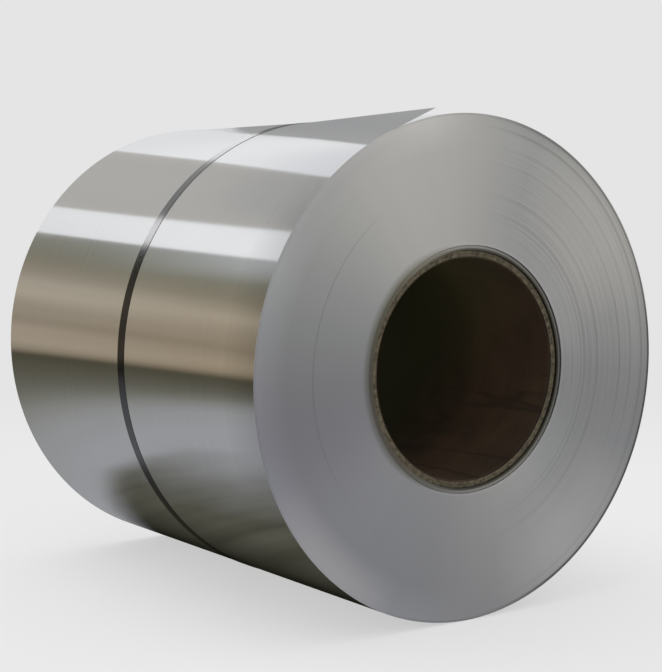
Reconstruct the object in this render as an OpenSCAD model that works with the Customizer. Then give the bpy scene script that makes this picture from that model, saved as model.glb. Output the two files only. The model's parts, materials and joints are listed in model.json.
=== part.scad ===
// Coil of aluminium strip on a paperboard core, held shut by one steel strap.
// Millimetres. The coil lies on its side: its axis runs along Y, its front end is at -Y,
// and Z = 0 is the floor that it rests on.

/* [Coil] */
// Outside diameter of the wound coil
coil_d = 1160; // [900:10:1300]
// Width of the rolled strip, which is the length of the coil
strip_w = 1220; // [1000:10:1500]
// Thickness of the strip
gauge = 1; // [0.8:0.1:2]

/* [Ends of the coil] */
// How many runs of turns can be told apart on an end
runs = 24; // [12:1:32]
// How far a run stands in or out of the end at most
wander = 0.8; // [0.2:0.1:1.5]
// Width of the first turns on the core, which sit back from the end
setback_w = 10; // [4:1:15]
// How far those first turns sit back
setback_depth = 3; // [1:0.5:4]
// Width of the groove that sets those first turns apart from the rest
eye_groove_w = 1.5; // [1:0.5:3]
// Depth of that groove
eye_groove_depth = 7; // [5:1:12]
// Width of the last turns, which sit back from the end
last_turns_w = 4; // [2:1:8]
// How far those last turns sit back
last_turns_back = 1.5; // [0.5:0.5:4]

/* [Free tail] */
// Where the strip ends, in degrees from the top towards the -X side
tail_angle = 9.7; // [4:0.1:14]
// Where its front edge leaves the coil, in the same degrees
lift_angle = 23.6; // [16:0.1:30]

/* [Paper core] */
// Bore of the core, for a 20 inch mandrel
core_bore_d = 508; // [406:2:610]
// Wall of the core
core_wall = 18; // [10:1:25]
// How far each end of the core sits inside the coil
core_recess = 8.5; // [5:0.5:20]

/* [Strap] */
// Width of the strap
strap_w = 32; // [19:1:40]
// Thickness of the strap
strap_t = 0.9; // [0.6:0.1:1.3]
// Middle of the strap, measured from the front end
strap_from_front = 587; // [300:1:900]
// Where its ends are joined, in degrees from the top towards the +X side
seal_angle = 62; // [40:1:140]
// Length over which its ends overlap
strap_lap = 130; // [100:5:200]
// Length of the seal along the strap
seal_len = 57; // [40:1:90]
// Sheet that the seal is bent from
seal_t = 1.3; // [0.8:0.1:2]
// Radius of the crimps in its edges
crimp_r = 4; // [2:0.5:6]

/* [Hidden] */

coil_r = coil_d / 2;
bore_r = core_bore_d / 2;
core_r = bore_r + core_wall;
half_w = strip_w / 2;

// Ends of the coil, from the core outwards
groove_r = core_r + setback_w;
face_r = groove_r + eye_groove_w;
run_w = (coil_r - last_turns_w - face_r) / runs;
golden_angle = 137.5;
over = 20;

// The strap's outer end lies a little inside the edges of the turn below it
lap_inset = 0.5;

// Tail: its lift starts in front of the strap and grows to the front end
strap_z = half_w - strap_from_front;
lift_clear = 8;
lift_z = strap_z + strap_w / 2 + lift_clear;
lift_w = half_w - lift_z;
tail_steps = 16;
gap_steps = 8;
root_bite = 1.5;
root_depth = 0.4;

// How far run i stands out of the front end; it sits in by as much at the back
function run_shift(i) = wander * sin(i * golden_angle);

// Point on a circle of radius r, by degrees from the top towards -X
function at_angle(r, a) = [-r * sin(a), r * cos(a)];

// Angle where the tail leaves the coil, from 0 at the strap to 1 at the front end
function leave_angle(s) = tail_angle + (lift_angle - tail_angle) * sqrt(s);

// End of the tail: it runs straight on from where it leaves the coil
function tail_run(a) = coil_r * (a - tail_angle) * PI / 180;
function tail_end(a, r) = at_angle(r, a) + tail_run(a) * [cos(a), sin(a)];

// Lays the coil on its side, with the axis at height up
module laid() {
    translate([0, 0, coil_r + strap_t - gauge / 2]) rotate([90, 0, 0]) children();
}

// Half of a round turn, on the side of X that side points to
module half_turn(r, side) {
    intersection() {
        circle(r, $fn = 360);
        translate([side > 0 ? 0 : -2 * r, -2 * r]) square([2 * r, 4 * r]);
    }
}

// Outline of the last turn. Each half is a true circle set a quarter of a gauge off centre,
// so the outline grows by one gauge in one turn and steps down where the strip ends.
module turn_outline(grow = 0) {
    rotate(tail_angle) {
        translate([0, gauge / 4]) half_turn(coil_r - gauge / 4 + grow, -1);
        translate([0, -gauge / 4]) half_turn(coil_r - gauge * 3 / 4 + grow, 1);
    }
}

// Steps of an end from the core outwards, as [radius, height]: the first turns on the core, their
// groove, one step for each run of turns, and the last turns
function end_steps(dir) = concat(
    [[core_r - over, -setback_depth], [groove_r, -setback_depth]],
    [[groove_r, -eye_groove_depth], [face_r, -eye_groove_depth]],
    [for (i = [0 : runs - 1], edge = [i, i + 1]) [face_r + edge * run_w, dir * run_shift(i)]],
    [[coil_r - last_turns_w, -last_turns_back], [coil_r + over, -last_turns_back]]
);

// What is cut away at one end, so that the steps are left standing
module end_cut(dir) {
    outside = [[coil_r + over, 2 * over], [core_r - over, 2 * over]];
    rotate_extrude($fn = 360) polygon(concat(end_steps(dir), outside));
}

// Space under one stretch of the lifted tail, where the last turn is off the coil
module lift_gap(i) {
    from = lift_z + lift_w * i / gap_steps;
    reach = coil_r + over;
    translate([0, 0, from]) linear_extrude(i == gap_steps - 1 ? lift_w : lift_w / gap_steps)
        difference() {
            polygon([[0, 0], at_angle(reach, leave_angle(i / gap_steps)), at_angle(reach, tail_angle)]);
            rotate(tail_angle) translate([0, -gauge / 4]) circle(coil_r - gauge * 3 / 4, $fn = 360);
        }
}

// The lifted part of the tail: a straight flap at every section, lifted most at the front
module lifted_tail() {
    sections = [for (i = [0 : tail_steps])
        let (s = i / tail_steps, a = leave_angle(s), root = a + root_bite)
        [for (p = [
            at_angle(coil_r - root_depth, root),
            tail_end(a, coil_r),
            tail_end(a, coil_r - gauge),
            at_angle(coil_r - gauge - root_depth, root)
        ]) [p.x, p.y, lift_z + lift_w * s]]];
    points = [for (ring = sections) each ring];
    last = 4 * tail_steps;
    sides = [for (i = [0 : tail_steps - 1], j = [0 : 3])
        let (a = 4 * i + j, b = 4 * i + (j + 1) % 4)
        each [[a, b, a + 4], [b, b + 4, a + 4]]];
    polyhedron(points, concat(sides, [[3, 2, 1, 0], [last, last + 1, last + 2, last + 3]]));
}

// The strip, wound up, before its bore and its ends are cut
module wound_strip() {
    difference() {
        linear_extrude(strip_w + 2 * over, center = true) turn_outline();
        for (i = [1 : gap_steps - 1]) lift_gap(i);
    }
    lifted_tail();
}

module coil() {
    color("#c9cbcd") laid() difference() {
        wound_strip();
        cylinder(h = strip_w + 4 * over, r = core_r, center = true, $fn = 360);
        translate([0, 0, half_w]) end_cut(1);
        translate([0, 0, -half_w]) mirror([0, 0, 1]) end_cut(-1);
    }
}

module paper_core() {
    color("#6f6350") laid() difference() {
        cylinder(h = strip_w - 2 * core_recess, r = core_r, center = true, $fn = 360);
        cylinder(h = strip_w, r = bore_r, center = true, $fn = 360);
    }
}

// Layer on the last turn from height low to height high, len long, around the strap's joint
module joint_layer(low, high, len, w) {
    linear_extrude(w, center = true) intersection() {
        difference() {
            turn_outline(high);
            turn_outline(low);
        }
        rotate(-seal_angle) translate([-len / 2, 0]) square([len, 2 * coil_r]);
    }
}

// One turn of strap, with its ends overlapped where they are joined
module steel_strap() {
    color("#34383f") laid() translate([0, 0, strap_z]) {
        linear_extrude(strap_w, center = true) difference() {
            turn_outline(strap_t);
            turn_outline();
        }
        joint_layer(strap_t, 2 * strap_t, strap_lap, strap_w - 2 * lap_inset);
    }
}

// Sleeve bent round the overlapped ends, with two crimps in each of its edges
module strap_seal() {
    seal_w = strap_w + 2 * seal_t;
    color("#4a4e54") laid() translate([0, 0, strap_z]) difference() {
        joint_layer(0, 2 * strap_t + seal_t, seal_len, seal_w);
        linear_extrude(strap_w, center = true) turn_outline(2 * strap_t);
        for (x = [-1, 1], z = [-1, 1])
            rotate(-seal_angle) translate([x * seal_len / 4, coil_r, z * (seal_w / 2 + crimp_r / 2)])
                rotate([90, 0, 0]) cylinder(h = over, r = crimp_r, center = true, $fn = 48);
    }
}

coil();
paper_core();
steel_strap();
strap_seal();
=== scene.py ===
"""Coil of aluminium strip on a paperboard core: finishes, close detail and a plain studio."""

import json
import math

import bpy
from bpy.props import FloatProperty, FloatVectorProperty, IntProperty, PointerProperty
from bpy.types import Operator, Panel, PropertyGroup
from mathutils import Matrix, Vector, noise


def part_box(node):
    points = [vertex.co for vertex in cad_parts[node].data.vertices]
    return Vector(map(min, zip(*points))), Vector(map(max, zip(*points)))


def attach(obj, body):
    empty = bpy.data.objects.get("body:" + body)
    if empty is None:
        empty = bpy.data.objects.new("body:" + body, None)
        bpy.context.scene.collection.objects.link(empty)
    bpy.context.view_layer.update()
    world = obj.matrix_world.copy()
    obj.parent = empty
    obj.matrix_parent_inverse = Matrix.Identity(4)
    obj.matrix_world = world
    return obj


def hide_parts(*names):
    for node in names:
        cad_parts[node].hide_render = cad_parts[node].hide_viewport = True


bl_info = {
    "name": "Aluminium coil",
    "version": (1, 0, 0),
    "blender": (4, 5, 0),
    "location": "View3D > Sidebar > Coil",
    "description": "Builds a strapped coil of aluminium strip and a studio to see it in",
    "category": "Object",
}

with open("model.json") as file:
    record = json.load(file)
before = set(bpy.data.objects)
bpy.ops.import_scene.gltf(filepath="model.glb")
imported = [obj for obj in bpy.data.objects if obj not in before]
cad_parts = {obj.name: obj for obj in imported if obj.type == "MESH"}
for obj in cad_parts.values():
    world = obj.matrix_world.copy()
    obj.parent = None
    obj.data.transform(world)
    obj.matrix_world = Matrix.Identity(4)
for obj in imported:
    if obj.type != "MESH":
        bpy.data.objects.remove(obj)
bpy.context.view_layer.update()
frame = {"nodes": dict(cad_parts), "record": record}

# Places that come from the frame, in metres. The coil's axis runs along Y and its front is at -Y.
BORE = next(m for m in frame["record"]["mounts"] if m["name"] == "core_bore")
AXIS_Z = BORE["pos_m"][2]
BORE_R = BORE["dims"]["r_mm"] / 1000
CORE_HALF = BORE["dims"]["length_mm"] / 2000
CORE_LOW, CORE_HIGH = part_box("paper_core")
CORE_R = (CORE_HIGH[0] - CORE_LOW[0]) / 2
COIL_LOW, COIL_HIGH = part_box("coil")
COIL_R = round(-COIL_LOW[0], 3)
HALF_W = round(COIL_HIGH[1], 2)
STRAP_LOW, STRAP_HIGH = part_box("steel_strap")
STRAP_Y = (STRAP_LOW[1] + STRAP_HIGH[1]) / 2
STRAP_W = STRAP_HIGH[1] - STRAP_LOW[1]
# The strip's thickness isn't in the frame. Under the coil, the last turn is half of it further in.
GAUGE = 0.001
STRAP_T = AXIS_Z - COIL_R - STRAP_LOW[2] + GAUGE / 2

FULL_TURN = 360
GOLDEN_ANGLE = 137.5


# --- Sizes and colours ---


def length(label, description, value):
    """A length property, in metres."""
    return FloatProperty(name=label, description=description, default=value, unit="LENGTH")


def angle_from_top(label, description, value):
    """An angle property, in degrees from the top of the coil."""
    return FloatProperty(name=label, description=description, default=value)


class CoilSizes(PropertyGroup):
    """Sizes that the frame's boxes don't give."""

    gauge: length("Strip thickness", "Thickness of the aluminium strip", GAUGE)
    tail_angle: angle_from_top(
        "End of the strip",
        "Where the strip ends, in degrees from the top towards -X",
        9.7,
    )
    lift_angle: angle_from_top(
        "Start of the lift",
        "Where the tail's front edge leaves the coil, in the same degrees",
        23.6,
    )
    lift_clear: length(
        "Lift from the strap",
        "Distance from the strap's edge to where the tail starts to lift",
        0.008,
    )
    runs: IntProperty(
        name="Runs of turns",
        description="How many runs of turns can be told apart on an end",
        default=24,
    )
    wander: length("Wander", "How far a run of turns stands in or out of an end at most", 0.0003)
    setback_w: length(
        "First turns",
        "Width of the first turns on the core, which sit back from the end",
        0.010,
    )
    setback_depth: length("First turns' setback", "How far those turns sit back", 0.003)
    groove_w: length("Eye groove", "Width of the groove outside the first turns", 0.0015)
    groove_depth: length("Eye groove depth", "Depth of that groove", 0.007)
    last_turns_w: length("Last turns", "Width of the last turns, which sit back from the end", 0.004)
    last_turns_back: length("Last turns' setback", "How far the last turns sit back", 0.0015)
    strap_lap: length("Strap overlap", "Length over which the strap's ends overlap", 0.13)
    joint_angle: angle_from_top(
        "Strap joint",
        "Where the strap is joined, in degrees from the top towards +X",
        62.0,
    )


def colour(label, description, value):
    """A colour property, in linear RGB."""
    return FloatVectorProperty(
        name=label,
        description=description,
        default=value,
        size=3,
        subtype="COLOR",
        min=0.0,
        max=1.0,
    )


class CoilColours(PropertyGroup):
    """Colours of the coil's own finishes and of the studio."""

    strip: colour("Strip", "Bright rolled face of the strip", (0.90, 0.905, 0.91))
    edges: colour("Edges", "Stacked edges of the turns", (0.60, 0.60, 0.595))
    seams: colour("Seams", "Dark lines between runs of turns", (0.30, 0.30, 0.30))
    board: colour("Board", "Cut ends of the paperboard", (0.140, 0.117, 0.076))
    board_dark: colour("Board, dark", "Inside of the paperboard tube", (0.078, 0.048, 0.027))
    board_deep: colour("Board, deep", "Inside of the tube, far from its ends", (0.062, 0.055, 0.020))
    steel: colour("Strap", "Blued strapping steel", (0.060, 0.064, 0.070))
    seal: colour("Seal", "Steel of the strap's seal", (0.17, 0.175, 0.18))
    backdrop: colour("Backdrop", "Pale backdrop around the coil", (0.783, 0.783, 0.783))


def sizes():
    """Sizes as they are set in the scene."""
    return bpy.context.scene.coil_sizes


def colours():
    """Colours as they are set in the scene."""
    return bpy.context.scene.coil_colours


# --- Shape of the winding ---


def at_angle(radius, angle, y):
    """Point at a radius from the axis, at degrees from the top towards -X."""
    a = math.radians(angle)
    return Vector((-radius * math.sin(a), y, AXIS_Z + radius * math.cos(a)))


def turn_radius(along):
    """Outside radius of the last turn, by degrees along it from the end of the strip."""
    gauge = sizes().gauge
    if along <= FULL_TURN / 2:
        offset, radius = gauge / 4, COIL_R - gauge / 4
    else:
        offset, radius = -gauge / 4, COIL_R - gauge * 3 / 4
    a = math.radians(along)
    return offset * math.cos(a) + math.sqrt(radius**2 - (offset * math.sin(a)) ** 2)


def lift_start():
    """Place along the axis where the tail starts to lift, in front of the strap."""
    return STRAP_Y - STRAP_W / 2 - sizes().lift_clear


def leave_angle(y):
    """Degrees from the top at which the tail leaves the coil, at a place along the axis."""
    s = sizes()
    start = lift_start()
    share = min(1.0, max(0.0, (start - y) / (start + HALF_W)))
    return s.tail_angle + (s.lift_angle - s.tail_angle) * math.sqrt(share)


def on_last_turn(along, y, depth):
    """Point on the last turn, depth below its outside. It runs straight on where it has left."""
    s = sizes()
    angle = s.tail_angle + along
    leave = leave_angle(y)
    if angle >= leave:
        return at_angle(turn_radius(along) - depth, angle, y)
    a = math.radians(leave)
    root = at_angle(turn_radius(leave - s.tail_angle) - depth, leave, y)
    return root + COIL_R * math.radians(leave - angle) * Vector((math.cos(a), 0, math.sin(a)))


def smooth_share(value, low, high):
    """0 at low and 1 at high, with a smooth change between them."""
    share = min(1.0, max(0.0, (value - low) / (high - low)))
    return share * share * (3 - 2 * share)


def run_level(run, angle):
    """How far a run of turns stands out of the front end, at degrees from the top towards -X.

    The runs are ragged on the side of +X and nearly flush on the other, where only the
    innermost half of them stands a hair proud.
    """
    hair = 0.0002
    a = math.radians(angle)
    across = -math.sin(a)
    ragged = smooth_share(across, -0.05, 0.55)
    uneven = abs(noise.noise(Vector((1.7 * math.cos(a), 1.7 * math.sin(a), 3.7 * run))))
    drift = 0.25 + 1.1 * uneven
    level = sizes().wander * math.sin(math.radians(run * GOLDEN_ANGLE)) * drift * ragged
    if run < sizes().runs / 2:
        level += hair * smooth_share(-across, 0.3, 0.7)
    return level


def last_setback(angle):
    """How far the last turns sit back: most on the ragged side, and hardly on the other."""
    across = -math.sin(math.radians(angle))
    return sizes().last_turns_back * (0.15 + 0.85 * smooth_share(across, -0.35, 0.25))


def eye_radius():
    """Radius where the face of an end starts, outside the first turns and their groove."""
    return CORE_R + sizes().setback_w + sizes().groove_w


def end_steps():
    """Steps of an end from the core outwards: (inner radius, outer radius, setback or run)."""
    s = sizes()
    groove = CORE_R + s.setback_w
    face = eye_radius()
    last = COIL_R - s.last_turns_w
    run_w = (last - face) / s.runs
    steps = [(CORE_R, groove, s.setback_depth), (groove, face, s.groove_depth)]
    steps += [(face + run * run_w, face + (run + 1) * run_w, run) for run in range(s.runs)]
    steps.append((last, COIL_R, "last"))
    return steps


def step_setback(step, angle, side):
    """How far a step of an end sits back, at an angle; side is -1 at the front and 1 at the back."""
    if step == "last":
        return last_setback(angle)
    if isinstance(step, float):
        return step
    return side * run_level(step, angle)


# --- Meshes ---


def mesh_piece(name, points, faces, material, sharp=30):
    """A smooth-shaded piece with its corners kept sharp, which rides on the coil."""
    mesh = bpy.data.meshes.new(name)
    mesh.from_pydata([tuple(p) for p in points], [], faces)
    mesh.validate()
    mesh.polygons.foreach_set("use_smooth", [True] * len(mesh.polygons))
    mesh.set_sharp_from_angle(angle=math.radians(sharp))
    mesh.materials.append(material)
    piece = bpy.data.objects.new(name, mesh)
    bpy.context.scene.collection.objects.link(piece)
    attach(piece, "root")
    return piece


def grid_faces(rows, columns, start=0, wrap=False, loop=False, flip=False):
    """Quads of a grid of points, row by row.

    wrap joins each row's end to its start, and loop joins the last row to the first.
    """
    faces = []
    for r in range(rows if loop else rows - 1):
        here = start + r * columns
        following = start + (r + 1) % rows * columns
        for c in range(columns if wrap else columns - 1):
            d = (c + 1) % columns
            quad = (here + c, here + d, following + d, following + c)
            faces.append(quad[::-1] if flip else quad)
    return faces


def spread(low, high, count):
    """Evenly spaced values from low to high."""
    return [low + (high - low) * i / (count - 1) for i in range(count)]


def body_ring(radius, step, side, columns):
    """One ring of points of the turned body, on a step of one of its ends."""
    s = sizes()
    points = []
    for c in range(columns):
        along = c * FULL_TURN / columns
        angle = s.tail_angle + along
        r = turn_radius(along) - s.gauge if radius == COIL_R else radius
        points.append(at_angle(r, angle, side * (HALF_W - step_setback(step, angle, side))))
    return points


def turned_body():
    """Every turn but the last, as one turned body with stepped ends."""
    columns = 2 * FULL_TURN
    rings = []
    for inner, outer, step in end_steps():
        rings += [body_ring(radius, step, -1, columns) for radius in (inner, outer)]
    for inner, outer, step in reversed(end_steps()):
        rings += [body_ring(radius, step, 1, columns) for radius in (outer, inner)]
    points = [p for ring in rings for p in ring]
    faces = grid_faces(len(rings), columns, wrap=True, loop=True)
    piece = mesh_piece("wound_turns", points, faces, strip_material())
    piece.data.materials.append(edge_material())
    outside = COIL_R - 2 * sizes().gauge
    for polygon in piece.data.polygons:
        flat = abs(polygon.normal.y) > 0.5
        radius = math.hypot(polygon.center.x, polygon.center.z - AXIS_Z)
        polygon.material_index = 1 if flat or radius < outside else 0
    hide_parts("coil")
    return piece


def last_turn():
    """The strip's last turn as a sheet, with its tail sprung off the coil at the front."""
    s = sizes()
    start = lift_start()
    back = HALF_W - s.last_turns_back
    lifted_rows = 40
    flat_rows = 14
    # The first degrees from the end of the strip are drawn twice as finely as the rest
    fine = 30
    places = spread(-back, start, lifted_rows)[:-1] + spread(start, back, flat_rows)
    turns = [i / 2 for i in range(2 * fine)] + list(range(fine, FULL_TURN + 1))
    columns = len(turns)
    rows = len(places)
    points = []
    for depth in (0.0, s.gauge):
        for y in places:
            # Towards each end, the edge follows the turns below it
            reach = max(0.0, (y - start) / (back - start), (start - y) / (start + back))
            for t in turns:
                proud = reach * (s.last_turns_back - last_setback(s.tail_angle + t))
                shift = Vector((0, math.copysign(proud, y - start), 0))
                points.append(on_last_turn(t, y, depth) + shift)
    inner = rows * columns
    last = (rows - 1) * columns
    faces = grid_faces(rows, columns)
    faces += grid_faces(rows, columns, start=inner, flip=True)
    for c in range(columns - 1):
        faces.append((c, inner + c, inner + c + 1, c + 1))
        faces.append((last + c + 1, inner + last + c + 1, inner + last + c, last + c))
    for r in range(rows - 1):
        a = r * columns
        b = a + columns
        faces.append((b, inner + b, inner + a, a))
        a += columns - 1
        b += columns - 1
        faces.append((a, inner + a, inner + b, b))
    piece = mesh_piece("last_turn", points, faces, strip_material())
    piece.data.materials.append(edge_material())
    for polygon in piece.data.polygons:
        polygon.material_index = 1 if abs(polygon.normal.y) > 0.7 else 0
    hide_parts("coil")
    return piece


def strap_base(along):
    """Radius that the strap lies on. It bridges the step at the end of the strip."""
    bridge = 3.0
    step = sizes().gauge * smooth_share(along, FULL_TURN - bridge, FULL_TURN)
    return turn_radius(along) + step


def band(first, last, count, lift, width, closed):
    """A band on the coil between two angles along the last turn, with its edges rounded."""
    round_r = 0.0003
    half = width / 2
    section = [
        (-half, 0.0),
        (half, 0.0),
        (half, STRAP_T - round_r),
        (half - round_r, STRAP_T),
        (-half + round_r, STRAP_T),
        (-half, STRAP_T - round_r),
    ]
    size = len(section)
    steps = count if closed else count - 1
    points = []
    for i in range(count):
        along = first + (last - first) * i / steps
        for across, height in section:
            radius = strap_base(along % FULL_TURN) + lift + height
            points.append(at_angle(radius, sizes().tail_angle + along, STRAP_Y + across))
    faces = []
    for i in range(steps):
        a = i * size
        b = (i + 1) % count * size
        for k in range(size):
            n = (k + 1) % size
            faces.append((a + k, a + n, b + n, b + k))
    if not closed:
        end = (count - 1) * size
        faces.append(tuple(range(size))[::-1])
        faces.append(tuple(range(end, end + size)))
    return points, faces


def strap_pieces():
    """The strap around the coil, and its outer end where it overlaps itself."""
    s = sizes()
    lap_inset = 0.0005
    lap_sections = 40
    half_lap = math.degrees(s.strap_lap / 2 / COIL_R)
    joint = FULL_TURN - s.joint_angle - s.tail_angle
    points, faces = band(0, FULL_TURN, 2 * FULL_TURN, 0.0, STRAP_W, True)
    lap_w = STRAP_W - 2 * lap_inset
    lap_points, lap_faces = band(
        joint - half_lap, joint + half_lap, lap_sections, STRAP_T, lap_w, False
    )
    faces += [tuple(len(points) + k for k in face) for face in lap_faces]
    points += lap_points
    piece = mesh_piece("strap", points, faces, steel_material())
    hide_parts("steel_strap")
    seal = frame["nodes"]["strap_seal"]
    for i in range(len(seal.data.materials)):
        seal.data.materials[i] = seal_material()
    return piece


def core_wall(y, angle):
    """How far the bore's wall stands in from round: a ply seam and a few soft creases."""
    seam_pitch, seam_w, seam_h = 0.24, 0.004, 0.0004
    crease_reach, crease_h, wave_h = 0.16, 0.004, 0.0003
    seam = ((y / seam_pitch + angle / FULL_TURN) % 1.0) - 0.5
    ridge = seam_h * math.exp(-((seam * seam_pitch / seam_w) ** 2))
    p = at_angle(BORE_R, angle, y)
    crease = noise.noise(Vector((p.x * 6, y * 14, p.z * 22)))
    near = math.exp(-(((y + CORE_HALF) / crease_reach) ** 2))
    return ridge + crease_h * near * max(0.0, crease) ** 2 + wave_h * abs(crease)


def paper_tube():
    """The paperboard core, with its plies showing on its cut ends."""
    columns = 288
    wall_rows = 110
    plies = 12
    # Bevels of the corners: (outwards, along the axis)
    inner_corner = (0.0022, 0.003)
    outer_corner = (0.0008, 0.0008)
    clear = 0.0002
    ply_rough = 0.0004
    wall_relief = 0.6
    angles = [c * FULL_TURN / columns for c in range(columns)]
    points = []
    for y in spread(inner_corner[1] - CORE_HALF, CORE_HALF - inner_corner[1], wall_rows):
        for angle in angles:
            radius = BORE_R + clear / 2 - core_wall(y, angle) * wall_relief
            points.append(at_angle(radius, angle, y))
    cut_w = CORE_R - BORE_R - inner_corner[0] - outer_corner[0]
    for side in (1, -1):
        steps = range(plies + 1)
        for k in steps if side == 1 else reversed(steps):
            radius = BORE_R + inner_corner[0] + cut_w * k / plies
            for angle in angles:
                p = at_angle(radius, angle, 0)
                rough = noise.noise(Vector((p.x * 60, k * 3.1, p.z * 60)))
                y = CORE_HALF - clear - ply_rough * (0.5 + 0.5 * rough)
                points.append(at_angle(radius, angle, side * y))
        if side == 1:
            for y in (CORE_HALF - outer_corner[1], outer_corner[1] - CORE_HALF):
                points += [at_angle(CORE_R - clear, angle, y) for angle in angles]
    faces = grid_faces(len(points) // columns, columns, wrap=True, loop=True, flip=True)
    piece = mesh_piece("core_tube", points, faces, board_material(), sharp=40)
    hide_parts("paper_core")
    return piece


# --- Materials ---


class Nodes:
    """Short way to add and join the nodes of one material."""

    def __init__(self, name):
        self.material = bpy.data.materials.new(name)
        self.material.use_nodes = True
        self.tree = self.material.node_tree
        self.surface = self.tree.nodes["Principled BSDF"]
        self.output = self.tree.nodes["Material Output"]

    def add(self, kind, *values, settings=None, **inputs):
        """A node with its inputs, in order or by name. Each is a value or a node's output."""
        made = self.tree.nodes.new("ShaderNode" + kind)
        for key, value in (settings or {}).items():
            setattr(made, key, value)
        for key, value in (*enumerate(values), *inputs.items()):
            self.set(made, key, value)
        return made

    def set(self, made, key, value):
        """Gives a node's input, by its name or number, a value or another node's output."""
        if isinstance(value, bpy.types.NodeSocket):
            self.tree.links.new(value, made.inputs[key])
        else:
            made.inputs[key].default_value = value

    def math(self, operation, *values):
        """Output of one math node."""
        return self.add("Math", *values, settings={"operation": operation}).outputs[0]

    def plus(self, first, *others):
        """Sum of values."""
        for other in others:
            first = self.math("ADD", first, other)
        return first

    def times(self, first, *others):
        """Product of values."""
        for other in others:
            first = self.math("MULTIPLY", first, other)
        return first

    def weighted(self, *pairs):
        """Sum of values times their weights, from pairs of (value, weight)."""
        return self.plus(*[self.times(value, weight) for value, weight in pairs])

    def minus(self, first, second):
        """One value less another."""
        return self.math("SUBTRACT", first, second)

    def over(self, first, second):
        """One value divided by another."""
        return self.math("DIVIDE", first, second)

    def apart(self, first, second):
        """Distance between two values."""
        return self.math("ABSOLUTE", self.minus(first, second))

    def between(self, value, low, high, to_low=0.0, to_high=1.0):
        """value from low..high carried over to to_low..to_high, and clamped."""
        return self.add("MapRange", value, low, high, to_low, to_high).outputs[0]

    def noise_lines(self, coordinate, scale, detail=2.0, rough=0.5):
        """Grain that changes only along one coordinate."""
        look = {"W": coordinate, "Scale": scale, "Detail": detail, "Roughness": rough}
        return self.add("TexNoise", settings={"noise_dimensions": "1D"}, **look).outputs[0]

    def noise_field(self, vector, scale, detail=3.0, rough=0.5):
        """Clouded grain."""
        look = {"Vector": vector, "Scale": scale, "Detail": detail, "Roughness": rough}
        return self.add("TexNoise", **look).outputs[0]

    def blend(self, share, first, second, how="MIX"):
        """The first colour where share is 0 and the second where it is 1."""
        made = self.add("Mix", share, settings={"data_type": "RGBA", "blend_type": how})
        # A Mix node has its inputs for colours after those for numbers and vectors
        for key, value in ((6, first), (7, second)):
            socket = isinstance(value, bpy.types.NodeSocket)
            self.set(made, key, value if socket else (*value, 1.0))
        return made.outputs[2]

    def tinted(self, first, second):
        """One colour times another."""
        return self.blend(1.0, first, second, how="MULTIPLY")

    def ramp(self, value, stops):
        """Colour by value, from a list of (value, colour)."""
        low, high = stops[0][0], stops[-1][0]
        made = self.add("ValToRGB", self.between(value, low, high))
        line = made.color_ramp
        while len(line.elements) < len(stops):
            line.elements.new(0.5)
        for element, (at, tint) in zip(line.elements, stops):
            element.position = (at - low) / (high - low)
            element.color = (*tint, 1)
        return made.outputs[0]

    def place(self):
        """Place of a point, in metres."""
        return self.add("TexCoord").outputs["Object"]

    def axes(self):
        """Place of a point by the coil's axis: (towards +X, along the axis, up)."""
        x, along, z = self.add("SeparateXYZ", self.place()).outputs
        return x, along, self.minus(z, AXIS_Z)

    def radius(self, x, up):
        """Distance from the coil's axis."""
        return self.math("SQRT", self.plus(self.times(x, x), self.times(up, up)))

    def turn(self, x, up):
        """Angle round the coil's axis from the top towards +X, as a share of a turn."""
        return self.over(self.math("ARCTAN2", x, up), 2 * math.pi)

    def metal(self, tint, rough, grain):
        """Metal with grain that runs round the coil, which stretches reflections across it."""
        tangent = self.add("Tangent", settings={"direction_type": "RADIAL", "axis": "Y"})
        self.set(self.surface, "Tangent", tangent.outputs[0])
        self.set(self.surface, "Base Color", tint)
        self.set(self.surface, "Metallic", 1.0)
        self.set(self.surface, "Roughness", rough)
        self.set(self.surface, "Anisotropic", grain)
        self.set(self.surface, "Anisotropic Rotation", 0.25)

    def bump(self, height, strength, distance):
        """Relief of the surface, by a height from 0 to 1 and its depth in metres."""
        made = self.add("Bump", Height=height, Strength=strength, Distance=distance)
        self.set(self.surface, "Normal", made.outputs[0])


def once(make):
    """Makes a material the first time it is asked for, and gives the same one after that."""
    made = []

    def get():
        if not made:
            made.append(make())
        return made[0]

    return get


def shaded(tint, amount):
    """A colour times a number."""
    return tuple(c * amount for c in tint)


# Tints of the finishes, and of painted highlights and painted shade, in linear RGB
BLACK = (0.0, 0.0, 0.0)
DARK_LINE = (0.05, 0.05, 0.05)
RIM_SHADE = (0.12, 0.12, 0.12)
PAINTED_HIGHLIGHT = (0.80, 0.80, 0.81)
EYE_HIGHLIGHT = (0.80, 0.80, 0.79)
EYE_STAIN_AND_SHADE = (0.115, 0.095, 0.04)
INNER_TURNS_SHADE = (0.04, 0.036, 0.02)


@once
def strip_material():
    """Bright mill finish with fine rolling lines round the coil."""
    m = Nodes("rolled_aluminium")
    x, along, up = m.axes()
    streak = m.noise_lines(along, 55.0, 4.0, 0.6)
    fine = m.noise_lines(along, 900.0, 2.0, 0.6)
    cloud = m.noise_field(m.place(), 3.0, 2.0)
    tone = m.times(m.plus(streak, cloud), 0.5)
    bright = colours().strip
    sheet = m.blend(m.between(tone, 0.35, 0.65), shaded(bright, 0.97), bright)
    # Near the front end, the side of -X is made a little darker
    near = m.between(along, 0.13 - HALF_W, -HALF_W, 0.0, 0.24)
    tone_shift = m.times(near, m.between(x, -0.36, -0.50), m.between(up, -0.28, -0.20))
    sheet = m.blend(tone_shift, sheet, BLACK)
    m.metal(sheet, m.between(m.plus(streak, fine), 0.7, 1.3, 0.105, 0.13), 0.92)
    m.bump(fine, 0.03, 0.0002)
    return m.material


LIT_EDGES = (0.97, 0.93, 0.87)
SHADED_EDGES = (0.30, 0.30, 0.31)
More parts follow.
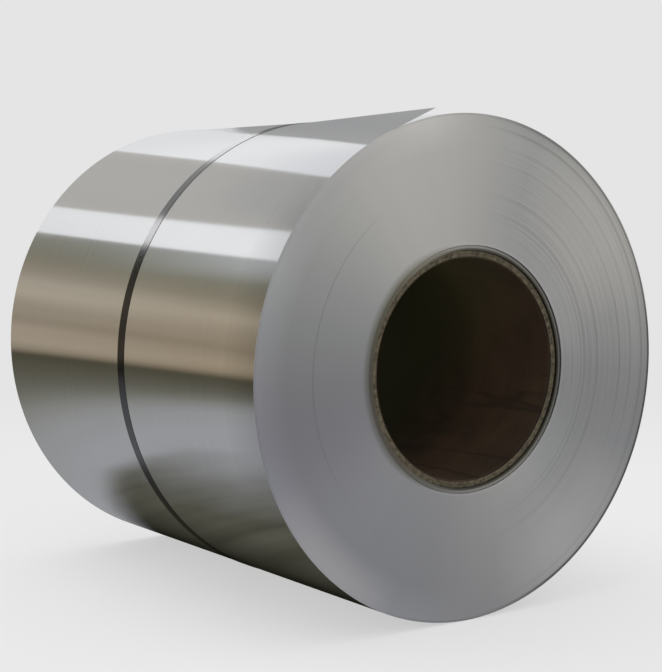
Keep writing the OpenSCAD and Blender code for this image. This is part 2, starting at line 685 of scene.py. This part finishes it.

# Fans of painted highlight and painted shade on the ends: (degrees from the top towards +X, half
# width, radii that it grows between as shares of the coil's, colour, strength)
PAINTED_FANS = (
    (49, 28, 0.56, 0.68, LIT_EDGES, 0.30),
    (142, 28, 0.62, 0.86, LIT_EDGES, 0.30),
    (190, 42, 0.20, 0.98, SHADED_EDGES, 0.34),
    (225, 22, 0.84, 0.96, LIT_EDGES, 0.60),
    (245, 65, 0.10, 0.40, SHADED_EDGES, 0.14),
    (322, 26, 0.85, 0.96, SHADED_EDGES, 0.36),
)
# Places as shares of the coil's radius: grooves near the rim as (middle, half width), and the turn
# that stands apart on the smooth side
OUTER_GROOVES = ((0.955, 0.006), (0.977, 0.004))
LONE_TURN = 0.747


def ragged_share(m, x, up, out, drift):
    """How much the rings show: on the ragged side, most of all halfway out."""
    high = m.between(m.weighted((x, 0.87), (up, 0.5), (drift, 0.1)), 0.25, 0.49, 0.04, 1.0)
    high = m.times(high, m.between(x, 0.04, 0.16, 0.2, 1.0))
    low = m.between(m.weighted((x, 0.87), (up, -0.5)), 0.24, 0.42, 0.0, 0.55)
    low = m.times(low, m.between(out, 0.73, 0.79, 1.0, 0.2))
    grows = m.between(out, 0.55, 0.62, 0.45, 1.75)
    fades = m.between(out, 0.75, 0.85, 1.0, 0.42)
    returns = m.between(out, 0.90, 0.94, 0.0, 0.35)
    return m.times(m.math("MAXIMUM", high, low), m.plus(m.times(grows, fades), returns))


def smooth_side(m, face, x, up, out, wavy):
    """On the other side, one turn stands apart, and the outer turns get a painted highlight."""
    line = m.between(m.apart(wavy, LONE_TURN * COIL_R), 0.0016, 0.0004)
    line = m.times(line, m.between(m.weighted((x, -0.98), (up, 0.17)), 0.29, 0.36))
    line = m.times(line, m.between(up, -0.2, 0.2, 0.08, 0.25))
    face = m.blend(line, face, DARK_LINE)
    # Painted highlight on the outer turns, towards -X
    tone_shift = m.times(m.between(out, 0.86, 0.98), m.between(x, 0.02, -0.16, 0.0, 0.7))
    return m.blend(tone_shift, face, PAINTED_HIGHLIGHT)


def fans(m, face, x, up, radius, out):
    """Broad fans of painted highlight and painted shade, each round one direction from the axis."""
    for angle, half_width, inner, outer, tone, strength in PAINTED_FANS:
        a = math.radians(angle)
        facing = m.over(m.weighted((x, math.sin(a)), (up, math.cos(a))), radius)
        fan = m.between(facing, math.cos(math.radians(half_width)), 1.0)
        fan = m.times(fan, m.between(out, inner, outer, 0.0, strength))
        face = m.blend(fan, face, tone)
    return face


def outer_turns(m, face, x, up, out):
    """Painted shade in grooves near the rim and painted shadow on it, on the ragged side, and a thin
    edge of painted shade on top.
    """
    side = m.between(x, 0.02, 0.25)
    # Painted shade in the grooves between the outermost turns
    for middle, half_width in OUTER_GROOVES:
        groove = m.between(m.apart(out, middle), half_width, 0.0, 0.0, 0.28)
        groove = m.times(groove, side, m.between(up, 0.25, 0.0, 1.0, 0.5))
        face = m.blend(groove, face, RIM_SHADE)
    # Painted shadow on the last turns
    last = m.times(m.between(out, 0.982, 0.988), side, m.between(up, 0.25, 0.08, 0.5, 0.82))
    face = m.blend(last, face, RIM_SHADE)
    # A thin edge of painted shade on the rim's top
    top = m.times(m.between(x, -0.24, -0.16), m.between(x, 0.08, 0.0))
    top = m.times(top, m.between(out, 0.989, 0.993, 0.0, 0.17))
    return m.blend(top, face, RIM_SHADE)


def eye_turns(m, face, x, up, radius, rings):
    """Round the eye: a painted highlight on its rim, stained turns in painted shade, most of all
    towards -X, and painted shade on the innermost turns, except towards -X.
    """
    eye = eye_radius()
    # Painted highlight on the rim of the eye
    rim = m.between(m.apart(radius, eye + 0.003), 0.004, 0.0025, 0.0, 0.15)
    face = m.blend(rim, face, EYE_HIGHLIGHT)
    # Stain and painted shade on the turns round the eye, widest towards -X
    wide = m.between(m.weighted((x, -0.99), (up, 0.13)), 0.04, 0.21, 0.001, 0.018)
    uneven = m.plus(radius, m.times(m.minus(rings, 0.5), 0.004))
    stain_and_shade = m.between(uneven, m.plus(wide, eye), eye - 0.003)
    sideways = m.over(m.math("ABSOLUTE", x), radius)
    stain_and_shade = m.times(stain_and_shade, m.between(sideways, 0.1, 0.7, 0.35, 0.78))
    stain_and_shade = m.times(stain_and_shade, m.between(x, 0.0, 0.15, 1.0, 0.75))
    face = m.blend(stain_and_shade, face, EYE_STAIN_AND_SHADE)
    # Painted shade on the innermost turns, except towards -X
    first = m.between(radius, CORE_R + 0.006, CORE_R + 0.003, 0.0, 0.78)
    return m.blend(m.times(first, m.between(x, -0.15, -0.03)), face, INNER_TURNS_SHADE)


@once
def edge_material():
    """Stacked edges of the turns: satin grey, with fine rings on the ragged side, and with painted
    highlights and painted shade.
    """
    m = Nodes("turn_edges")
    x, _, up = m.axes()
    radius = m.radius(x, up)
    out = m.over(radius, COIL_R)
    drift = m.noise_field(m.place(), 2.2, 2.0)
    wavy = m.plus(radius, m.times(drift, 0.003))
    rings = m.noise_lines(wavy, 260.0, 4.0, 0.7)
    coarse = m.noise_lines(wavy, 80.0, 2.0, 0.5)
    ragged = ragged_share(m, x, up, out, drift)
    seam = m.between(rings, 0.52, 0.36, 0.0, 0.30)
    bands = m.between(m.apart(coarse, 0.5), 0.06, 0.0, 0.0, 0.36)
    share = m.times(m.plus(seam, bands), ragged)
    # Faint streaks outwards, from the way the edges of the turns were slit
    direction = m.add("CombineXYZ", m.over(x, radius), m.turn(x, up)).outputs[0]
    slit = m.noise_field(direction, 9.0, 3.0, 0.6)
    share = m.plus(share, m.between(slit, 0.3, 0.7, 0.0, 0.06))
    face = m.blend(share, colours().edges, colours().seams)
    face = smooth_side(m, face, x, up, out, wavy)
    face = fans(m, face, x, up, radius, out)
    face = outer_turns(m, face, x, up, out)
    face = eye_turns(m, face, x, up, radius, rings)
    m.metal(face, m.between(rings, 0.3, 0.7, 0.36, 0.40), 0.85)
    m.bump(m.times(m.plus(rings, coarse), ragged), 0.10, 0.0006)
    return m.material


# Painted light on the tube's lining: its tone by distance from the coil's middle, from an end
# inwards
PAINTED_LINING_LIGHT = (
    (-0.60, (0.74, 0.74, 0.70)),
    (-0.57, (0.92, 0.91, 0.88)),
    (-0.54, (1.0, 1.0, 0.98)),
    (-0.50, (1.2, 1.17, 1.13)),
    (-0.45, (1.3, 1.27, 1.22)),
    (-0.36, (1.5, 1.45, 1.4)),
    (-0.30, (1.25, 1.25, 1.2)),
    (-0.15, (1.12, 1.28, 1.1)),
)
CREASE_SHADE = (0.012, 0.009, 0.006)


@once
def board_material():
    """Paperboard: mottled grey-brown on its cut ends, dark brown inside."""
    m = Nodes("paperboard")
    x, along, up = m.axes()
    radius = m.radius(x, up)
    turn = m.turn(x, up)
    mottle = m.noise_field(m.place(), 90.0, 6.0, 0.65)
    plies = m.noise_lines(radius, 700.0, 2.0, 0.5)
    fibre = m.noise_field(m.place(), 900.0, 3.0, 0.6)
    tone = m.between(m.weighted((mottle, 0.7), (plies, 0.3)), 0.40, 0.60)
    board = colours().board
    end = m.blend(tone, shaded(board, 0.35), shaded(board, 1.2))
    stain = m.noise_field(m.place(), 7.0, 4.0, 0.6)
    dark = colours().board_dark
    wall = m.blend(m.between(stain, 0.3, 0.7), shaded(dark, 0.6), dark)
    # Deep in the tube the lining looks olive, most of all high up, and alike from both ends
    inward = m.times(m.math("ABSOLUTE", along), -1.0)
    wall = m.blend(m.between(m.plus(inward, up), -0.45, -0.1), wall, colours().board_deep)
    # A few creases run along the lining, low down on the side of +X and near the front end, painted
    # dark as shade
    unrolled = m.add("CombineXYZ", m.times(turn, 17.0), m.times(along, 1.4)).outputs[0]
    crease = m.between(m.apart(m.noise_field(unrolled, 1.0, 2.0), 0.5), 0.035, 0.0, 0.0, 0.6)
    crease = m.times(crease, m.between(turn, 0.24, 0.34), m.between(along, -0.15, -0.5))
    wall = m.blend(crease, wall, CREASE_SHADE)
    # Painted light: the lining is lightest a good way in, and its corner gets painted shade
    wall = m.tinted(wall, m.ramp(inward, PAINTED_LINING_LIGHT))
    # Painted shade on the corner, low on the side of +X
    corner = m.between(radius, BORE_R + 0.0002, BORE_R + 0.0008, 0.0, 0.55)
    lower = m.between(m.weighted((x, 0.94), (up, -0.34)), 0.09, 0.18)
    wall = m.blend(m.times(corner, lower), wall, BLACK)
    inside = m.between(radius, BORE_R + 0.0045, BORE_R + 0.0032)
    m.set(m.surface, "Base Color", m.blend(inside, end, wall))
    m.set(m.surface, "Specular IOR Level", 0.2)
    m.set(m.surface, "Roughness", m.between(mottle, 0.3, 0.7, 0.78, 0.92))
    m.bump(m.plus(fibre, m.times(mottle, 2.0)), 0.35, 0.0004)
    return m.material


def drawn_steel(name, blue):
    """Glossy steel with faint drawing lines along it."""
    m = Nodes(name)
    _, along, _ = m.axes()
    lines = m.noise_lines(along, 1500.0, 3.0, 0.6)
    cloud = m.noise_field(m.place(), 12.0, 3.0, 0.6)
    brown = (blue[0] * 1.05, blue[1] * 0.95, blue[2] * 0.82)
    tint = m.blend(m.between(cloud, 0.4, 0.65), blue, brown)
    m.metal(tint, m.between(lines, 0.3, 0.7, 0.14, 0.24), 0.6)
    m.bump(lines, 0.08, 0.0002)
    return m.material


@once
def steel_material():
    """Blued strapping steel."""
    return drawn_steel("blued_steel", colours().steel)


@once
def seal_material():
    """Bare steel of the seal, a shade lighter than the strap."""
    return drawn_steel("seal_steel", colours().seal)


# --- Studio ---

FLOOR_HALF = 60
# Camera, in coil radii: (out of the front end, towards +X and up from the axis)
CAMERA_PLACE = (4.785, -4.016, 0.682)
# Where it looks, in degrees from +Y towards +X and down from level, and its lens in millimetres
CAMERA_BEARING = 35.025
CAMERA_DOWN = 5.039
LENS = 85.6
# Lamp above: strength, spread in degrees, and lean in degrees round X, Y and Z
LAMP_ENERGY = 0.62
LAMP_SPREAD = 50
LAMP_LEAN = (-12, -14, 0)

# The strip mirrors a hall, laid out in coil radii: its far wall behind the front end, the reach of
# its floor in front of that end, and the floor's level, just above the real one
WALL = 9.0
FLOOR_REACH = 12.0
LOW = 0.0008 - AXIS_Z / COIL_R
NEAR = LOW + 0.002
# Outlines on the far wall, as (towards +X, up). The opening's goes down its left side and back up.
OPENING_LEFT = (
    (-1.2, 9.6), (0.0, 7.17), (0.9, 5.91), (1.35, 5.1),
    (1.8, 3.79), (2.2, 2.0), (2.3, -1),
)
OPENING_RIGHT = (
    (4.9, -1), (4.4, 2.0), (4.05, 3.0), (3.75, 3.55),
    (3.7, 4.2), (3.5, 5.44), (3.0, 6.62), (2.2, 9.6),
)
OPENING = OPENING_LEFT + OPENING_RIGHT
FAR_OPENING = ((5.6, -1), (12, -1), (12, 4.6), (5.6, 4.6))
LIGHT_STRIP = (
    (-7.5, 6.9), (-4.8, 4.89), (-2.55, 3.24), (-0.6, 1.3),
    (0.0, 2.0), (-1.43, 3.71), (-3.45, 5.99), (-6, 8.9),
)
STACKS = (
    (-30, -1), (-0.3, -1), (-0.6, 1.3), (-2.55, 3.24),
    (-4.8, 4.89), (-7.5, 6.9), (-30, 22),
)
WHOLE_WALL = ((-30, -1), (30, -1), (30, 30), (-30, 30))
SHADE = (*OPENING_RIGHT, (0, 30), (12, 30), (12, -1))
GREY_BETWEEN = (*OPENING_LEFT[:5], *LIGHT_STRIP[4:])
# Plain cards round the near end of the hall: (name, colour, out of the front end, towards +X, up).
# Two of the three places are (low, high), and one is a number.
DARK = (0.14, 0.14, 0.14)
WHITE = (1.05, 1.05, 1.05)
ROOM_CARDS = (
    ("card_front_left", DARK, 12, (-14, 3), (-1, 11)),
    ("card_front_panel", (0.85, 0.92, 0.95), 12, (3, 7), (-1, 2.5)),
    ("card_front_corner", (0.50, 0.42, 0.22), 12, (7, 12), (-1, 2.5)),
    ("card_front_right", WHITE, 12, (3, 12), (2.5, 11)),
    ("card_above_left", (0.84, 0.88, 1.0), (0, 12), (-14, -5), 11),
    ("card_above", WHITE, (0, 12), (-5, 4), 11),
    ("card_above_right", (1.05, 0.99, 0.94), (0, 12), (4, 12), 11),
    ("card_side_near", (0.96, 1.04, 1.0), (0, 5), 12, (-1, 11)),
    ("card_side_low", (1.0, 0.98, 0.93), (5, 12), 12, (-1, 1.5)),
    ("card_side_high", (0.62, 0.66, 0.72), (5, 12), 12, (1.5, 11)),
    ("card_side_left", DARK, (0, 12), -14, (-1, 11)),
    ("card_floor_left", DARK, (0, 12), (-14, -2), NEAR),
    ("card_floor_near", (0.28, 0.29, 0.34), (0, 2), (-2, 2), NEAR),
    ("card_floor_mid", (0.15, 0.14, 0.20), (2, 12), (-2, 2), NEAR),
    ("card_floor_right", (0.33, 0.33, 0.36), (0, 12), (2, 12), NEAR),
)

# Colours of the hall that the strip mirrors, each with its place in coil radii. This one goes by
# the height over the axis.
FAR_SIDE = (
    (-1.0, (0.12, 0.10, 0.068)),
    (-0.92, (0.16, 0.134, 0.097)),
    (-0.76, (0.30, 0.25, 0.188)),
    (-0.5, (0.355, 0.30, 0.232)),
    (-0.15, (0.345, 0.292, 0.225)),
    (0.08, (0.33, 0.275, 0.215)),
    (0.28, (0.28, 0.235, 0.178)),
    (0.5, (0.285, 0.24, 0.183)),
    (1.0, (0.335, 0.29, 0.23)),
    (1.55, (0.41, 0.36, 0.29)),
    (1.9, (0.385, 0.34, 0.275)),
    (2.4, (0.28, 0.25, 0.195)),
    (2.8, (0.225, 0.207, 0.157)),
    (3.2, (0.215, 0.208, 0.166)),
    (3.8, (0.235, 0.24, 0.205)),
    (4.6, (0.33, 0.33, 0.325)),
    (6.5, (0.40, 0.40, 0.40)),
)
# Light on the stacks, by the place towards +X
STACKS_LIGHT = (
    (-6.3, (1.02, 0.985, 0.90)),
    (-5.4, (1.03, 1.0, 0.97)),
    (-4.8, (1.07, 1.07, 1.06)),
    (-4.2, (1.10, 1.11, 1.11)),
    (-3.4, (1.0, 1.0, 1.0)),
)
# Light of the openings, by the height over the axis
DAYLIGHT = (
    (2.0, (0.80, 0.81, 0.82)),
    (2.8, (0.77, 0.775, 0.785)),
    (3.6, (0.775, 0.78, 0.79)),
    (4.1, (0.825, 0.83, 0.835)),
    (4.6, (0.865, 0.87, 0.875)),
    (5.4, (0.87, 0.875, 0.88)),
    (5.9, (0.79, 0.795, 0.81)),
    (6.4, (0.68, 0.685, 0.715)),
)
# Floor, by the place out of the front end
HALL_FLOOR = (
    (-9.0, (0.055, 0.050, 0.030)),
    (-6.5, (0.085, 0.080, 0.055)),
    (-5.4, (0.105, 0.100, 0.077)),
    (-4.8, (0.127, 0.124, 0.100)),
    (-4.4, (0.155, 0.152, 0.126)),
    (-4.0, (0.205, 0.205, 0.185)),
    (-3.6, (0.265, 0.268, 0.258)),
    (-3.2, (0.315, 0.320, 0.325)),
    (-2.6, (0.345, 0.350, 0.368)),
    (0.5, (0.345, 0.350, 0.368)),
    (2.0, (0.26, 0.27, 0.30)),
    (6.0, (0.30, 0.31, 0.35)),
)


def from_front(out, across, up):
    """Point by coil radii: out of the front end, towards +X and up from the axis."""
    return Vector((across * COIL_R, -HALF_W - out * COIL_R, AXIS_Z + up * COIL_R))


def card_material(name, tint, adds=False):
    """Light of a card, from its colour or a function that makes it. adds keeps what is behind."""
    m = Nodes(name)
    value = tint(m) if callable(tint) else (*tint, 1)
    light = m.add("Emission", Color=value, Strength=1.0).outputs[0]
    if adds:
        light = m.add("AddShader", light, m.add("BsdfTransparent").outputs[0]).outputs[0]
    m.set(m.output, "Surface", light)
    return m.material


def stage_surface(name, corners, material, seen=False):
    """A flat studio surface. Unless it is seen, only reflections show it."""
    mesh = bpy.data.meshes.new(name)
    mesh.from_pydata([tuple(c) for c in corners], [], [tuple(range(len(corners)))])
    mesh.materials.append(material)
    card = bpy.data.objects.new(name, mesh)
    bpy.context.scene.collection.objects.link(card)
    card.visible_camera = seen
    card.visible_diffuse = seen
    card.visible_shadow = seen
    card.visible_transmission = seen
    return card


def in_radii(m):
    """Place on a studio surface by coil radii: (towards +X, out of the front end, up)."""
    x, along, up = m.axes()
    out = m.over(m.plus(along, HALF_W), -COIL_R)
    return m.over(x, COIL_R), out, m.over(up, COIL_R)


def streaks(m, across, level, strength):
    """Share of long uneven streaks across a studio surface."""
    stretched = m.add("CombineXYZ", m.times(across, 0.25), m.times(level, 2.5)).outputs[0]
    return m.between(m.noise_field(stretched, 1.6, 3.0, 0.6), 0.35, 0.65, 0.0, strength)


def far_side(m):
    """Far side of the hall from its floor up: dark kerb, tan stacks, then grey-green above."""
    across, _, up = in_radii(m)
    wander = m.noise_field(m.place(), 0.45, 3.0, 0.6)
    level = m.plus(up, m.between(wander, 0.3, 0.7, -0.10, 0.10))
    # Above the kerb, all of it leans
    lean = m.times(m.plus(across, 4.8), m.between(up, 0.3, 1.5, 0.0, 0.2))
    wall = m.ramp(m.plus(level, lean), FAR_SIDE)
    wall = m.blend(streaks(m, across, up, 0.20), wall, (0.12, 0.10, 0.07))
    wall = m.tinted(wall, m.ramp(across, STACKS_LIGHT))
    # Haze just under the slanting light, near the front
    slope = m.plus(up, m.times(across, 0.6), m.between(wander, 0.35, 0.65, -0.15, 0.15))
    haze = m.times(m.between(slope, 0.3, 1.5), m.between(across, -4.1, -5.0))
    return m.blend(haze, wall, (0.44, 0.455, 0.465))


def hall_floor(m):
    """Floor of the hall: cool grey by the coil, olive further off, with a painted shadow of the coil
    beneath it.
    """
    across, out, _ = in_radii(m)
    sideways = m.math("ABSOLUTE", across)
    shift = m.between(m.noise_field(m.place(), 2.2, 3.0, 0.6), 0.3, 0.7, -0.12, 0.12)
    # Painted shadow of the coil, dark beneath it and soft towards its sides and ends
    side = m.between(m.plus(sideways, shift), 0.86, 1.68)
    end = m.between(m.plus(m.apart(out, -1.0), shift), 1.01, 1.32)
    depth = m.between(sideways, 0.34, 0.74)
    under = m.blend(depth, (0.006, 0.006, 0.004), (0.100, 0.097, 0.075))
    slant = m.noise_lines(m.weighted((out, 0.6), (across, 0.8)), 4.0)
    under = m.blend(m.between(slant, 0.35, 0.65, 0.0, 0.45), under, (0.02, 0.02, 0.012))
    worn = streaks(m, across, m.times(out, 0.5), 0.14)
    clear = m.blend(worn, m.ramp(out, HALL_FLOOR), (0.13, 0.13, 0.11))
    return m.blend(m.plus(side, end), under, clear)


def daylight(m):
    """Light of the hall's openings, uneven from their tops to their feet."""
    across, _, up = in_radii(m)
    cloud = m.noise_field(m.place(), 0.8, 3.0, 0.6)
    level = m.plus(up, m.between(cloud, 0.35, 0.65, -0.25, 0.25))
    lean = m.times(m.math("MAXIMUM", m.minus(across, 1.5), 0.0), 0.25)
    return m.ramp(m.minus(level, lean), DAYLIGHT)


def grey_wall(m):
    """Grey end of the hall, darker higher up and unevenly lit."""
    across, _, up = in_radii(m)
    cloud = m.noise_field(m.place(), 0.6, 2.0)
    level = m.plus(up, m.between(cloud, 0.3, 0.7, -0.3, 0.3))
    wall = m.blend(m.between(level, 5.6, 6.5), (0.46, 0.45, 0.43), (0.345, 0.345, 0.34))
    return m.blend(streaks(m, across, m.times(up, 0.4), 0.20), wall, (0.30, 0.29, 0.27))


def shaded_wall(m):
    """Shaded end of the hall, unevenly lit."""
    cloud = m.noise_field(m.place(), 0.5, 3.0)
    return m.blend(m.between(cloud, 0.35, 0.65), (0.335, 0.337, 0.342), (0.41, 0.408, 0.404))


def more_with_height(m):
    """Light that is stronger higher up, where the strap is seen less from the side."""
    _, _, up = in_radii(m)
    return m.between(up, 3.0, 6.0, 0.2, 2.6)


def wall_card(name, outline, gap, tint, adds=False):
    """A card in front of the far wall, with its outline as (towards +X, up) in coil radii."""
    corners = [from_front(gap - WALL, x, up) for x, up in outline]
    return stage_surface(name, corners, card_material(name, tint, adds))


def level_card(name, corners, level, tint, adds=False):
    """A card at one height, with its corners as (out of the front end, towards +X)."""
    corners = [from_front(out, x, level) for out, x in corners]
    return stage_surface(name, corners, card_material(name, tint, adds))


def room_card(name, tint, out, x, up):
    """A card square to the room. Two of its places are (low, high), and one is a number."""
    (o0, o1), (x0, x1), (u0, u1) = [v if isinstance(v, tuple) else (v, v) for v in (out, x, up)]
    if u0 == u1:
        return level_card(name, [(o0, x0), (o1, x0), (o1, x1), (o0, x1)], u0, tint)
    corners = [(o0, x0, u0), (o1, x1, u0), (o1, x1, u1), (o0, x0, u1)]
    corners = [from_front(*corner) for corner in corners]
    return stage_surface(name, corners, card_material(name, tint))


def cards():
    """Cards that the bright strip mirrors: a hall's floor, walls and tall lit openings."""
    wall_card("card_grey", WHOLE_WALL, 0, grey_wall)
    wall_card("card_opening", OPENING, 0.03, daylight)
    wall_card("card_shade", SHADE, 0.02, shaded_wall)
    wall_card("card_far_opening", FAR_OPENING, 0.03, daylight)
    wall_card("card_light_strip", LIGHT_STRIP, 0.03, daylight)
    wall_card("card_far_side", STACKS, 0.02, far_side)
    floor = [(FLOOR_REACH, 30), (FLOOR_REACH, -30), (-WALL, -30), (-WALL, 30)]
    level_card("card_floor", floor, LOW, hall_floor)
    for card in ROOM_CARDS:
        room_card(*card)
    # Light for the strap alone, so that its steel shows on the bright strip
    beside = [(0, -9), (0, -1.1), (-6, -1.1), (-6, -9)]
    gleams = [
        wall_card("gleam_opening", OPENING, 0.1, more_with_height, adds=True),
        wall_card("gleam_strip", LIGHT_STRIP, 0.1, (4.4, 4.4, 4.5), adds=True),
        wall_card("gleam_grey", GREY_BETWEEN, 0.1, (0.6, 0.6, 0.6), adds=True),
        level_card("gleam_floor", beside, LOW + 0.01, (0.2, 0.21, 0.23), adds=True),
    ]
    steel = bpy.data.collections.new("strap_steel")
    for piece in (bpy.data.objects["strap"], frame["nodes"]["strap_seal"]):
        steel.objects.link(piece)
    for card in gleams:
        card.light_linking.receiver_collection = steel


def floor_material(pale):
    """Pale floor. Much of what the camera sees of it is its own colour, so its shadow is soft."""
    m = Nodes("pale_floor")
    m.set(m.surface, "Base Color", (0.80, 0.80, 0.80, 1))
    m.set(m.surface, "Roughness", 0.9)
    m.set(m.surface, "Specular IOR Level", 0.0)
    distance = m.add("VectorMath", m.place(), settings={"operation": "LENGTH"}).outputs["Value"]
    # Painted light: the floor's own colour glows a little stronger near the coil, which lightens the
    # shade round it
    near = m.between(distance, 1.0, 4.0, 1.16, 1.0)
    own = m.add("Emission", Color=(*pale, 1), Strength=near).outputs[0]
    own_share = m.times(m.add("LightPath").outputs["Is Camera Ray"], 0.6)
    mixed = m.add("MixShader", own_share, m.surface.outputs[0], own)
    m.set(m.output, "Surface", mixed.outputs[0])
    return m.material


def top_light():
    """Soft light from above."""
    sun = bpy.data.lights.new("soft_top_light", "SUN")
    sun.energy = LAMP_ENERGY
    sun.angle = math.radians(LAMP_SPREAD)
    lamp = bpy.data.objects.new("soft_top_light", sun)
    lamp.rotation_euler = [math.radians(lean) for lean in LAMP_LEAN]
    bpy.context.scene.collection.objects.link(lamp)


def camera():
    """The camera, in front of the coil and towards -X."""
    scene = bpy.context.scene
    lens = bpy.data.cameras.new("camera")
    lens.lens = LENS
    lens.clip_end = 200
    made = bpy.data.objects.new("camera", lens)
    made.location = from_front(*CAMERA_PLACE)
    bearing = math.radians(CAMERA_BEARING)
    down = math.radians(CAMERA_DOWN)
    level = math.cos(down)
    look = Vector((level * math.sin(bearing), level * math.cos(bearing), -math.sin(down)))
    made.rotation_euler = look.to_track_quat("-Z", "Y").to_euler()
    scene.collection.objects.link(made)
    scene.camera = made


def studio():
    """Pale floor and backdrop, soft light from above, cards, and the camera."""
    scene = bpy.context.scene
    scene.view_settings.view_transform = "Standard"
    pale = tuple(colours().backdrop)
    world = bpy.data.worlds.new("backdrop")
    scene.world = world
    world.use_nodes = True
    world.node_tree.nodes["Background"].inputs["Color"].default_value = (*pale, 1)
    corners = [(x * FLOOR_HALF, y * FLOOR_HALF, 0) for x, y in ((-1, -1), (1, -1), (1, 1), (-1, 1))]
    stage_surface("floor", corners, floor_material(pale), seen=True)
    cards()
    top_light()
    camera()


# --- Operators and panel ---


class COIL_OT_turns(Operator):
    """Builds every turn of the coil but the last, as one turned body"""

    bl_idname = "coil.turns"
    bl_label = "Wound turns"

    def execute(self, context):
        turned_body()
        return {"FINISHED"}


class COIL_OT_last_turn(Operator):
    """Builds the last turn of the strip, with its free tail"""

    bl_idname = "coil.last_turn"
    bl_label = "Last turn"

    def execute(self, context):
        last_turn()
        return {"FINISHED"}


class COIL_OT_core(Operator):
    """Builds the paperboard core"""

    bl_idname = "coil.core"
    bl_label = "Paper core"

    def execute(self, context):
        paper_tube()
        return {"FINISHED"}


class COIL_OT_strap(Operator):
    """Builds the steel strap, and finishes its seal"""

    bl_idname = "coil.strap"
    bl_label = "Strap"

    def execute(self, context):
        strap_pieces()
        return {"FINISHED"}


class COIL_OT_studio(Operator):
    """Sets up the floor, the lights, the cards and the camera"""

    bl_idname = "coil.studio"
    bl_label = "Studio"

    def execute(self, context):
        studio()
        return {"FINISHED"}


class COIL_PT_panel(Panel):
    """Sizes, colours and building steps of the coil"""

    bl_label = "Aluminium coil"
    bl_space_type = "VIEW_3D"
    bl_region_type = "UI"
    bl_category = "Coil"

    def draw(self, context):
        for group in (context.scene.coil_sizes, context.scene.coil_colours):
            box = self.layout.box()
            for name in group.__annotations__:
                box.prop(group, name)
        for step in STEPS:
            self.layout.operator(step.bl_idname)


STEPS = (COIL_OT_turns, COIL_OT_last_turn, COIL_OT_core, COIL_OT_strap, COIL_OT_studio)
CLASSES = (CoilSizes, CoilColours, *STEPS, COIL_PT_panel)


def register():
    for cls in CLASSES:
        bpy.utils.register_class(cls)
    bpy.types.Scene.coil_sizes = PointerProperty(type=CoilSizes)
    bpy.types.Scene.coil_colours = PointerProperty(type=CoilColours)


def unregister():
    del bpy.types.Scene.coil_colours
    del bpy.types.Scene.coil_sizes
    for cls in reversed(CLASSES):
        bpy.utils.unregister_class(cls)


def main():
    register()
    bpy.ops.coil.turns()
    bpy.ops.coil.last_turn()
    bpy.ops.coil.core()
    bpy.ops.coil.strap()
    bpy.ops.coil.studio()


if __name__ == "__main__":
    main()
